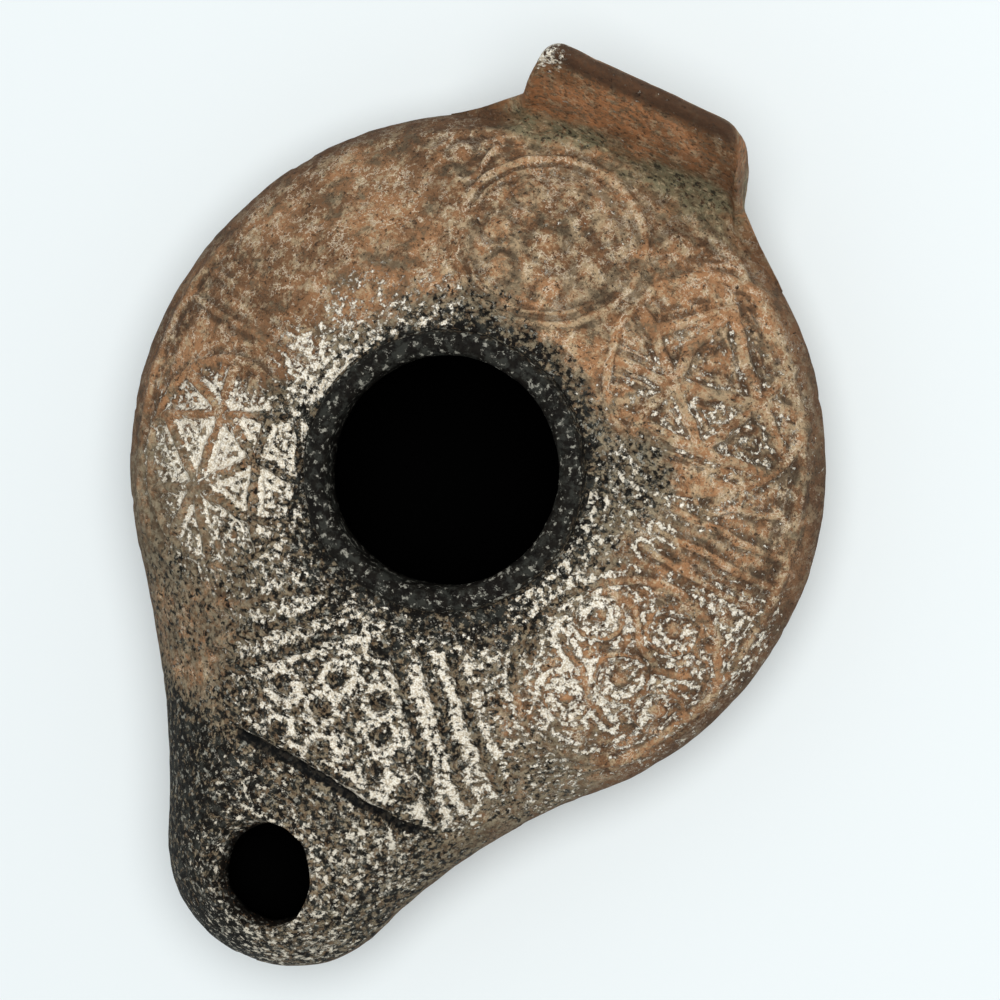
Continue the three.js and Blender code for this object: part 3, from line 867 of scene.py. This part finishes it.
def paint(piece):
    """Writes what the material needs to know about each point of the skin."""
    mesh = piece.data
    points = before_wobble(positions(mesh))
    plan = points[:, :2]
    radius = np.hypot(*plan.T)
    outside = is_outside(points)
    upper = smoothstep(points[:, 2], SEAM_HEIGHT - 1, SEAM_HEIGHT + 1.5) * outside
    high = points[:, 2] > SHOULDER_TOP - 2.5
    on_collar = (radius < COLLAR_RADIUS + 0.5) & high
    on_handle = (plan[:, 1] > 32.6) & (np.abs(plan[:, 0]) < 16) & outside
    on_handle &= points[:, 2] > top_height(np.minimum(plan, [FAR_OFF, BODY_RADIUS - 0.1])) + 0.8
    relief, gap, left = carve(plan)
    flat = (upper < 0.5) | on_collar | on_handle
    in_nozzle = np.hypot(*(plan - WICK_HOLE).T) <= WICK_SURROUNDINGS
    below_rim = np.where(in_nozzle, NOZZLE_TOP, THROAT_SHADE_LEVEL) - points[:, 2]
    on_lip = smoothstep(points[:, 2], HANDLE_TOP - 2.0, HANDLE_TOP - 0.6)
    # Darker along the outline: painted shade where the sides turn away from the light, with dirt.
    on_edge = (1 - smoothstep(edge_distance(plan), 0.4, 2.2)) * (1 - by_handle(plan))
    lime = np.where(~outside | on_collar, NO_LIME, lerp(NO_LIME, lime_on(plan), upper))
    values = {
        "gap": np.where(flat, PLAIN_PAINT["gap"], gap),
        "relief": np.where(flat, PLAIN_PAINT["relief"], relief),
        # Inside the chamber the soot is full: soot, and painted shade that darkens the inside.
        "soot": np.where(outside, soot_on(plan) * upper, 1.0) * ~on_handle,
        "grime": grime_on(plan) * upper * ~on_handle,
        "lime": np.where(on_handle, handle_lime_on(points), lime),
        "lines": lines_on(plan) * upper * ~on_handle * smoothstep(left, 0.3, 0.8),
        "fresh": left,
        "chalky": np.maximum(near(plan, (0, 23), 15), near(plan, (21, 13), 17)),
        "collar": (1 - smoothstep(radius, COLLAR_RADIUS - 0.25, COLLAR_RADIUS + 0.3)) * high,
        "handle": on_handle.astype(float),
        # Painted shade with dirt along the outline; on the handle, a darker top edge
        "rim": np.where(on_handle, 1.3 * on_lip, on_edge),
        "crease": np.clip(dirt_in_crease(points) * 2.2, 0, 1),
        "greyed": np.maximum(smoothstep(-plan[:, 1], 28, 36), 0.7 * near(plan, (15, 3), 8)) * outside,
        # Painted shade: darker below the seam, where the body turns under and away from the light.
        "under": 1 - smoothstep(points[:, 2], SEAM_HEIGHT - 3, SEAM_HEIGHT),
        # Painted shade: the walls of the chamber and the wick hole turn black from a little below their
        # rims.
        "inside": (1.0 - outside) * smoothstep(below_rim, 1.8, 3.4),
    }
    for name, value in values.items():
        layer = mesh.attributes.new(name, "FLOAT", "POINT")
        layer.data.foreach_set("value", np.asarray(value, np.float32))


# The clay material


class Nodes:
    """Short names for building a material's nodes."""

    def __init__(self, material):
        self.tree = material.node_tree
        self.coordinates = self.new("ShaderNodeTexCoord").outputs["Object"]

    def new(self, kind, **settings):
        node = self.tree.nodes.new(kind)
        for key, value in settings.items():
            setattr(node, key, value)
        return node

    def link(self, source, socket):
        if isinstance(source, bpy.types.NodeSocket):
            self.tree.links.new(source, socket)
        else:
            socket.default_value = source

    def attribute(self, name):
        return self.new("ShaderNodeAttribute", attribute_name=name).outputs["Fac"]

    def math(self, operation, a, b=0.0):
        node = self.new("ShaderNodeMath", operation=operation)
        for socket, source in zip(node.inputs, (a, b)):
            self.link(source, socket)
        return node.outputs[0]

    def times(self, product, *others):
        for other in others:
            product = self.math("MULTIPLY", product, other)
        return product

    def band(self, value, middle, inner, outer):
        """1 near the middle value, 0 further off than outer."""
        off = self.math("ABSOLUTE", self.math("SUBTRACT", value, middle))
        return self.ramp(off, outer, inner)

    def ramp(self, value, low, high):
        """0 below the low value, 1 above the high one. It falls where low is the larger of the two."""
        node = self.new("ShaderNodeMapRange", interpolation_type="SMOOTHSTEP")
        for key, source in (("Value", value), ("From Min", low), ("From Max", high)):
            self.link(source, node.inputs[key])
        return node.outputs[0]

    def noise(self, size, detail=3.0, roughness=0.55, shift=0.0):
        """Noise whose bumps are as many millimetres wide as size."""
        mapping = self.new("ShaderNodeMapping")
        self.link(self.coordinates, mapping.inputs["Vector"])
        mapping.inputs["Location"].default_value = (shift, -shift, 0.5 * shift)
        node = self.new("ShaderNodeTexNoise")
        self.link(mapping.outputs[0], node.inputs["Vector"])
        node.inputs["Scale"].default_value = 1 / (size * MM)
        node.inputs["Detail"].default_value = detail
        node.inputs["Roughness"].default_value = roughness
        return node.outputs["Fac"]

    def mix(self, share, a, b):
        node = self.new("ShaderNodeMix", data_type="RGBA")
        self.link(share, node.inputs["Factor"])
        for source, socket in ((a, node.inputs[6]), (b, node.inputs[7])):
            self.link(source if isinstance(source, bpy.types.NodeSocket) else (*source, 1), socket)
        return node.outputs[2]


def linear(red, green, blue):
    """A screen colour from 0 to 255 as the shader wants it, by the sRGB curve."""
    shares = [channel / 255 for channel in (red, green, blue)]
    return tuple(share / 12.92 if share < 0.0404 else ((share + 0.055) / 1.055) ** 2.4 for share in shares)


TERRACOTTA = linear(164, 120, 83)
BROWN_CLAY = linear(122, 88, 60)
# Painted highlight for the crests of the carving
CREST_HIGHLIGHT = linear(174, 127, 88)
PALE_CLAY = linear(192, 172, 138)
CREAM = linear(222, 206, 180)
# Dark clay for cracks and flecks, also painted shade in the carving's hollows and below the seam
DARK_CLAY_AND_SHADE = linear(52, 38, 27)
# Painted shade with dirt along the outline, and the handle's darker top edge
DARK_RIM_AND_SHADE = linear(66, 46, 32)
ORANGE_CLAY = linear(174, 118, 76)
HANDLE_BROWN = linear(118, 80, 50)
EARTH = linear(96, 88, 70)
GREEN_GREY = linear(122, 114, 88)
GRIME = linear(86, 72, 54)
GRIME_PALE = linear(136, 126, 104)
SOOT = linear(8, 9, 10)
# Soot's grey tone, also painted sheen on the collar
SOOT_GREY_AND_SHEEN = linear(44, 46, 43)
SOOT_DUST = linear(162, 160, 148)
LIME = linear(255, 250, 236)
LIME_SHADE = linear(200, 185, 160)
GREY_CRUST = linear(206, 198, 180)
# Painted shade deep in the chamber and the wick hole
HOLE_SHADE = linear(3, 3, 3)
PIT = linear(24, 19, 15)

# How far the fine noise spreads about its middle
GRAIN_SPREAD = 0.08

BUMP_HEIGHT = 0.2
DULL_CLAY = 0.92
CLAY_GLOSS = 0.25


# In the functions below, n is the material's Nodes. Each noise has its size in millimetres,
# its detail, its roughness and a shift of its own, so that no two of them line up.


def clay_colour(n, fine, finest):
    """Fired clay: brown to orange, with a pale haze, dark stains and flecks, smoother on the handle."""
    broad = n.noise(9, 3, 0.6, 0.1)
    stains = n.noise(3.2, 5, 0.72, 0.2)
    haze = n.math("ADD", n.noise(1.5, 6, 0.78, 0.25), n.times(n.attribute("chalky"), 0.05))
    flecks = n.noise(0.38, 3, 0.6, 0.28)
    scratches = n.band(n.noise(2.2, 6, 0.72, 0.36), 0.5, 0.004, 0.02)
    cracks = n.band(n.noise(2.8, 6, 0.72, 0.33), 0.5, 0.003, 0.014)
    clay = n.mix(n.ramp(broad, 0.4, 0.6), BROWN_CLAY, TERRACOTTA)
    for share, colour in (
        (n.times(n.ramp(haze, 0.5, 0.6), 0.65), PALE_CLAY),
        (n.times(n.ramp(stains, 0.47, 0.36), 0.7), EARTH),
        (n.times(n.ramp(flecks, 0.55, 0.66), n.ramp(stains, 0.42, 0.56), 0.65), PALE_CLAY),
        (n.times(scratches, n.ramp(stains, 0.46, 0.54), 0.9), CREAM),
        (n.times(cracks, n.ramp(stains, 0.56, 0.46), 0.7), DARK_CLAY_AND_SHADE),
        (n.times(n.ramp(fine, 0.43, 0.34), 0.85), DARK_CLAY_AND_SHADE),
        (n.times(n.ramp(finest, 0.42, 0.34), 0.5), DARK_CLAY_AND_SHADE),
    ):
        clay = n.mix(share, clay, colour)
    handle = handle_colour(n, broad, stains, haze, fine)
    return n.mix(n.times(n.attribute("handle"), 0.85), clay, handle)


def handle_colour(n, broad, stains, haze, fine):
    """The handle's own clay, rubbed smooth and darker."""
    dirt = n.noise(0.8, 5, 0.74, 0.41)
    clay = n.mix(n.ramp(broad, 0.42, 0.58), HANDLE_BROWN, ORANGE_CLAY)
    for share, colour in (
        (n.times(n.ramp(stains, 0.5, 0.38), 0.6), HANDLE_BROWN),
        (n.times(n.ramp(dirt, 0.52, 0.4), 0.75), EARTH),
        (n.times(n.ramp(haze, 0.52, 0.62), 0.45), PALE_CLAY),
        (n.times(n.ramp(fine, 0.48, 0.36), 0.7), DARK_CLAY_AND_SHADE),
    ):
        clay = n.mix(share, clay, colour)
    return clay


def dirt_and_painted_light(n, clay, gap, relief, fine):
    """Painted highlight on the crests of the carving and painted shade with dirt in its hollows; dirt in
    the handle's crease; darker along the edge, with painted shade round the outline and a darker top edge
    on the handle.
    """
    patchy = n.noise(1.8, 5, 0.7, 0.9)
    crumbs = n.noise(0.75, 5, 0.7, 1.1)
    fresh, crease = n.attribute("fresh"), n.attribute("crease")
    # Painted highlight: the crests of the carving are made lighter where wear has left them.
    crest = n.times(n.ramp(relief, 0.25, 0.55), fresh, n.ramp(fine, 0.42, 0.56), n.ramp(patchy, 0.44, 0.56))
    # Painted shade with dirt: the hollows at the foot of the carving are made darker, in patches.
    hollow = n.times(n.ramp(gap, 0.95, 0.2), n.ramp(patchy, 0.62, 0.46), n.ramp(relief, 0.3, 0.1), fresh)
    colour = clay
    for share, layer in (
        (n.times(crest, 0.5), CREST_HIGHLIGHT),
        (n.times(hollow, 0.75), DARK_CLAY_AND_SHADE),
        (n.times(crease, n.ramp(fine, 0.34, 0.5)), GREEN_GREY),
        (n.times(crease, n.ramp(crumbs, 0.48, 0.4), 0.85), PIT),
        (n.times(crease, n.ramp(crumbs, 0.56, 0.64), 0.7), PALE_CLAY),
        # Painted shade with dirt along the outline, and a darker top edge on the handle
        (n.times(n.attribute("rim"), 0.7), DARK_RIM_AND_SHADE),
    ):
        colour = n.mix(share, colour, layer)
    return colour


def soot_colour(n, under, collar):
    """Grey-green grime and black from the flame, in flecks that show what lies under them. The black has
    bluish grey patches, which are also painted sheen on the collar.
    """
    ragged = n.times(n.math("SUBTRACT", n.noise(1.4, 5, 0.7, 0.52), 0.5), 2.4)
    muddy = n.math("ADD", n.attribute("grime"), ragged)
    grime = n.mix(n.ramp(n.noise(0.7, 5, 0.7, 0.54), 0.42, 0.58), GRIME, GRIME_PALE)
    colour = n.mix(n.times(n.ramp(muddy, 0.2, 0.9), 0.85), under, grime)
    ragged = n.times(n.math("SUBTRACT", n.noise(0.6, 5, 0.68, 0.5), 0.5), 3.4)
    sooty = n.math("ADD", n.attribute("soot"), ragged)
    black = n.math("MAXIMUM", n.ramp(sooty, 0.34, 0.76), collar)
    # Bluish grey patches in the soot: tone of the soot, and painted sheen on the collar.
    soot = n.mix(n.ramp(n.noise(1.2, 5, 0.72, 0.55), 0.46, 0.62), SOOT, SOOT_GREY_AND_SHEEN)
    dust = n.ramp(n.noise(0.7, 5, 0.7, 0.58), 0.56, 0.64)
    soot = n.mix(n.times(dust, 0.8), soot, SOOT_DUST)
    return black, n.mix(n.times(black, 0.97), colour, soot)


def groove_share(n, relief):
    """1 in the groove that closes the fan, 0 elsewhere."""
    return n.ramp(relief, -0.06, -0.25)


def crust_share(n, gap, relief):
    """Where the pale lime crust lies: in flecks and patches, more of it at the foot of the carving."""
    grains = n.math("SUBTRACT", n.noise(0.66, 5, 0.68, 0.6), 0.5)
    level = n.math("ADD", n.math("DIVIDE", grains, GRAIN_SPREAD), n.attribute("lime"))
    foot = n.times(n.band(gap, 0.2, 0.08, 0.5), n.attribute("lines"))
    level = n.math("ADD", level, n.times(foot, 1.4))
    level = n.math("SUBTRACT", level, n.times(n.ramp(relief, 0.22, 0.5), 1.2))
    level = n.math("SUBTRACT", level, n.times(groove_share(n, relief), 2.5))
    return n.ramp(level, -0.35, 0.65)


def crust_colour(n, finest):
    """Lime in two tones, greyer on the nozzle."""
    lime = n.mix(n.ramp(finest, 0.38, 0.62), LIME_SHADE, LIME)
    return n.mix(n.times(n.attribute("greyed"), 0.6), lime, GREY_CRUST)


def bumps(n, fine, crust, pits):
    """The grain of the clay, the thickness of the crust and the pits, as fine bumps."""
    node = n.new("ShaderNodeBump")
    node.inputs["Strength"].default_value = 1.0
    node.inputs["Distance"].default_value = BUMP_HEIGHT * MM
    surface = n.math("ADD", n.times(fine, 0.9), n.times(crust, 0.55))
    surface = n.math("SUBTRACT", surface, n.times(pits, 0.6))
    n.link(surface, node.inputs["Height"])
    return node.outputs[0]


def clay_material():
    material = bpy.data.materials.new("lamp_clay")
    material.use_nodes = True
    n = Nodes(material)
    shader = n.tree.nodes["Principled BSDF"]
    gap, relief = n.attribute("gap"), n.attribute("relief")
    collar, inside = n.attribute("collar"), n.attribute("inside")
    fine = n.noise(0.5, 5, 0.65, 0.3)
    finest = n.noise(0.2, 3, 0.6, 0.4)
    pits = n.ramp(n.noise(0.8, 4, 0.7, 0.7), 0.34, 0.3)
    crust = crust_share(n, gap, relief)

    colour = clay_colour(n, fine, finest)
    colour = dirt_and_painted_light(n, colour, gap, relief, fine)
    black, colour = soot_colour(n, colour, collar)
    for share, layer in (
        (n.times(groove_share(n, relief), 0.9), SOOT),
        (n.times(crust, 0.93), crust_colour(n, finest)),
        (n.times(pits, 0.75), PIT),
        # Painted shade below the seam
        (n.times(n.attribute("under"), 0.25), DARK_CLAY_AND_SHADE),
        # Painted shade deep inside the holes
        (inside, HOLE_SHADE),
    ):
        colour = n.mix(share, colour, layer)
    n.link(colour, shader.inputs["Base Color"])

    rough = n.math("SUBTRACT", DULL_CLAY, n.times(black, 0.2))
    n.link(n.math("MAXIMUM", rough, n.times(crust, 0.95)), shader.inputs["Roughness"])
    gloss = n.math("SUBTRACT", CLAY_GLOSS, n.times(black, 0.18))
    n.link(n.times(gloss, n.math("SUBTRACT", 1.0, inside)), shader.inputs["Specular IOR Level"])
    n.link(bumps(n, fine, crust, pits), shader.inputs["Normal"])
    return material


SHARP_ANGLE = math.radians(62)


def lamp():
    """The one piece of the object, in the place of its plain solid."""
    piece = rough_vessel()
    combine(piece, rough_handle(), "UNION")
    combine(piece, wick_cutter(), "DIFFERENCE")
    paint(piece)
    piece.data.shade_smooth()
    piece.data.set_sharp_from_angle(angle=SHARP_ANGLE)
    piece.data.materials.clear()
    piece.data.materials.append(clay_material())
    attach(piece, "root")
    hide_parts("lamp")


# Floor, light and camera

CAMERA_TARGET = (3.98, -1.77, 14.6)
CAMERA_DISTANCE = 350.0
CAMERA_LENS = 127.8
CAMERA_TILT = math.radians(10.55)
CAMERA_SIDE = math.radians(40.9)
IMAGE_UP = math.radians(116.1)

FLOOR_HALF = 1.5
FLOOR_COLOUR = (0.80, 0.85, 0.86, 1)
SKY_COLOUR = (0.95, 0.985, 1.0, 1)
SKY_STRENGTH = 0.4
LIGHT_PLACE = (0.12, 0.15, 0.88)
LIGHT_SIZE = 0.6
LIGHT_POWER = 6.8


def camera():
    data = bpy.data.cameras.new("view")
    data.sensor_width = 36
    data.lens = CAMERA_LENS
    data.clip_start = 0.01
    data.clip_end = 10
    item = bpy.data.objects.new("view", data)
    bpy.context.scene.collection.objects.link(item)
    lean = math.sin(CAMERA_TILT)
    back = Vector((lean * math.cos(CAMERA_SIDE), lean * math.sin(CAMERA_SIDE), math.cos(CAMERA_TILT)))
    item.location = (Vector(CAMERA_TARGET) + back * CAMERA_DISTANCE) * MM
    right = Vector((math.cos(IMAGE_UP), math.sin(IMAGE_UP), 0)).cross(back).normalized()
    item.rotation_euler = Matrix((right, back.cross(right), back)).transposed().to_euler()
    bpy.context.scene.camera = item


def overhead_light():
    """A round soft light high over the lamp, turned to it."""
    data = bpy.data.lights.new("overhead", "AREA")
    data.shape = "DISK"
    data.size = LIGHT_SIZE
    data.energy = LIGHT_POWER
    item = bpy.data.objects.new("overhead", data)
    bpy.context.scene.collection.objects.link(item)
    item.location = LIGHT_PLACE
    item.rotation_euler = Vector(LIGHT_PLACE).to_track_quat("Z", "Y").to_euler()


def plain_floor():
    mesh = bpy.data.meshes.new("floor")
    corners = [(x * FLOOR_HALF, y * FLOOR_HALF, 0) for x, y in ((-1, -1), (1, -1), (1, 1), (-1, 1))]
    mesh.from_pydata(corners, [], [(0, 1, 2, 3)])
    floor = bpy.data.objects.new("floor", mesh)
    bpy.context.scene.collection.objects.link(floor)
    material = bpy.data.materials.new("floor")
    material.use_nodes = True
    shader = material.node_tree.nodes["Principled BSDF"]
    shader.inputs["Base Color"].default_value = FLOOR_COLOUR
    shader.inputs["Roughness"].default_value = 0.9
    mesh.materials.append(material)


def sky():
    world = bpy.data.worlds.new("studio")
    world.use_nodes = True
    background = world.node_tree.nodes["Background"]
    background.inputs["Color"].default_value = SKY_COLOUR
    background.inputs["Strength"].default_value = SKY_STRENGTH
    bpy.context.scene.world = world
    bpy.context.scene.view_settings.view_transform = "Standard"


camera()
sky()
overhead_light()
plain_floor()
lamp()
